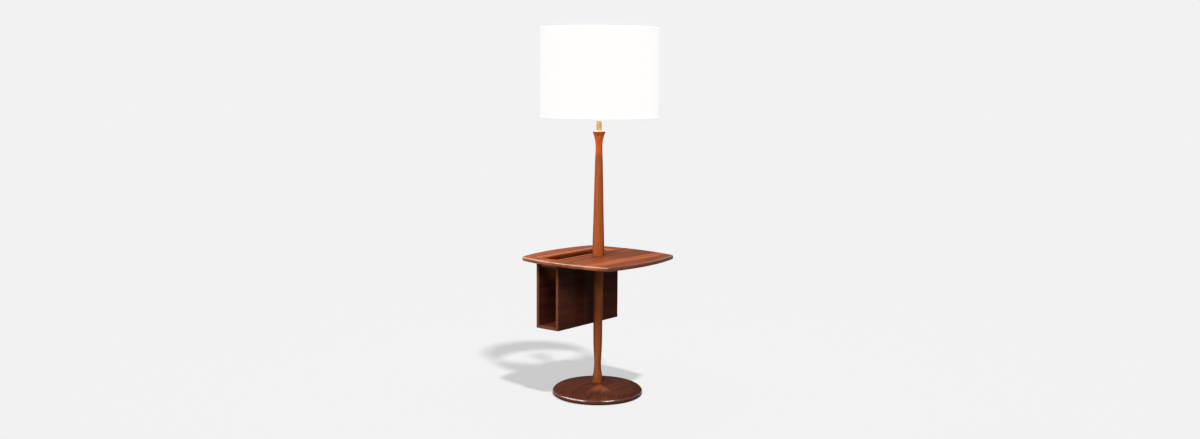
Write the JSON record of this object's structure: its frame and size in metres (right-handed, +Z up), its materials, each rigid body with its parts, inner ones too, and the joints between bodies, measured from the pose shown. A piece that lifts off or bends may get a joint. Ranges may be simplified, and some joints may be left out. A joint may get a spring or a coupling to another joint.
{
  "type": "floor lamp with table",
  "caption": "Floor lamp with a turned wooden pole on a round base, a bowed-side square table with a slotted magazine rack below, and a white drum shade.",
  "frame": {"origin": "on the floor, at the middle of the felt under the base, below the pole's axis", "axes": "+Z up the pole; the magazine rack hangs on the -X side and runs along Y"},
  "size_m": [0.457, 0.457, 1.3589],
  "materials": {
    "table_wood": "satin cherry stain, glued-up boards",
    "pole_wood": "satin cherry stain",
    "neck_wood": "brighter orange-red stain, satin",
    "base_wood": "dark red-brown stain, glossy",
    "rack_wood": "cherry stain, satin",
    "dowel_wood": "plain beech",
    "felt": "pressed felt",
    "iron": "rough casting",
    "steel": "zinc plated",
    "brass": "satin",
    "brass_matt": "matt lacquered",
    "socket_brass": "satin",
    "aluminium": "rolled",
    "black_plastic": "moulded",
    "card": "pressed card",
    "bulb_glass": "frosted",
    "clear_glass": "clear",
    "black_glass": "vitrified",
    "shade_fabric": "white linen on a stiff backing",
    "shade_tape": "white binding tape",
    "white_wire": "white enamel"
  },
  "bodies": {
    "lamp": {"felt_pad": "felt", "base_disc": "base_wood", "cord_bushing": "black_plastic", "base_weight": "iron", "base_washer": "steel", "base_lock_washer": "steel", "base_nut": "steel", "lower_pipe": "steel", "upper_pipe": "steel", "pipe_coupling": "steel", "lower_pole": "pole_wood", "table_top": "table_wood", "upper_pole": "pole_wood", "pole_neck": "neck_wood", "check_ring": "brass", "neck_tube": "brass_matt", "harp_saddle": "socket_brass", "harp": "brass", "harp_stud": "brass", "socket_cap": "socket_brass", "socket_set_screw": "steel", "socket_shell": "socket_brass", "socket_liner": "card", "socket_body": "black_plastic", "terminal_screws": "brass", "screw_shell": "aluminium", "centre_contact": "brass", "rack_outer_panel": "rack_wood", "rack_inner_panel": "rack_wood", "rack_bottom_panel": "rack_wood", "rack_dowels": "dowel_wood", "rack_rod_front": "rack_wood", "rack_rod_rear": "rack_wood", "rack_brackets": "steel", "rack_bracket_screws": "steel"},
    "finial": {"finial": "brass"},
    "shade": {"shade_top_ring": "white_wire", "shade_bottom_ring": "white_wire", "shade_spider": "white_wire", "spider_arms": "white_wire", "shade_shell": "shade_fabric", "shade_top_trim": "shade_tape", "shade_bottom_trim": "shade_tape"},
    "switch": {"switch_spindle": "brass", "switch_knob": "black_plastic"},
    "bulb": {"bulb_cap": "aluminium", "bulb_contact": "black_glass", "bulb_glass": "bulb_glass", "bulb_stem": "clear_glass", "bulb_filament": "steel"},
    "sleeve_right": {"harp_sleeve_right": "brass"},
    "sleeve_left": {"harp_sleeve_left": "brass"}
  },
  "joints": [
    {"name": "shade_swivel", "type": "hinge", "parent": "lamp", "child": "shade", "pos_m": [0, 0, 1.334], "axis": [0, 0, 1], "continuous": true},
    {"name": "finial_turn", "type": "hinge", "parent": "lamp", "child": "finial", "pos_m": [0, 0, 1.339], "axis": [0, 0, 1], "continuous": true},
    {"name": "switch_turn", "type": "hinge", "parent": "lamp", "child": "switch", "pos_m": [0.02, 0, 1.1177], "axis": [1, 0, 0], "continuous": true},
    {"name": "bulb_turn", "type": "hinge", "parent": "lamp", "child": "bulb", "pos_m": [0, 0, 1.14], "axis": [0, 0, 1], "continuous": true},
    {"name": "sleeve_lift_right", "type": "slide", "parent": "lamp", "child": "sleeve_right", "axis": [0, 0, 1], "range_m": [0, 0.012]},
    {"name": "sleeve_lift_left", "type": "slide", "parent": "lamp", "child": "sleeve_left", "axis": [0, 0, 1], "range_m": [0, 0.012]}
  ]
}
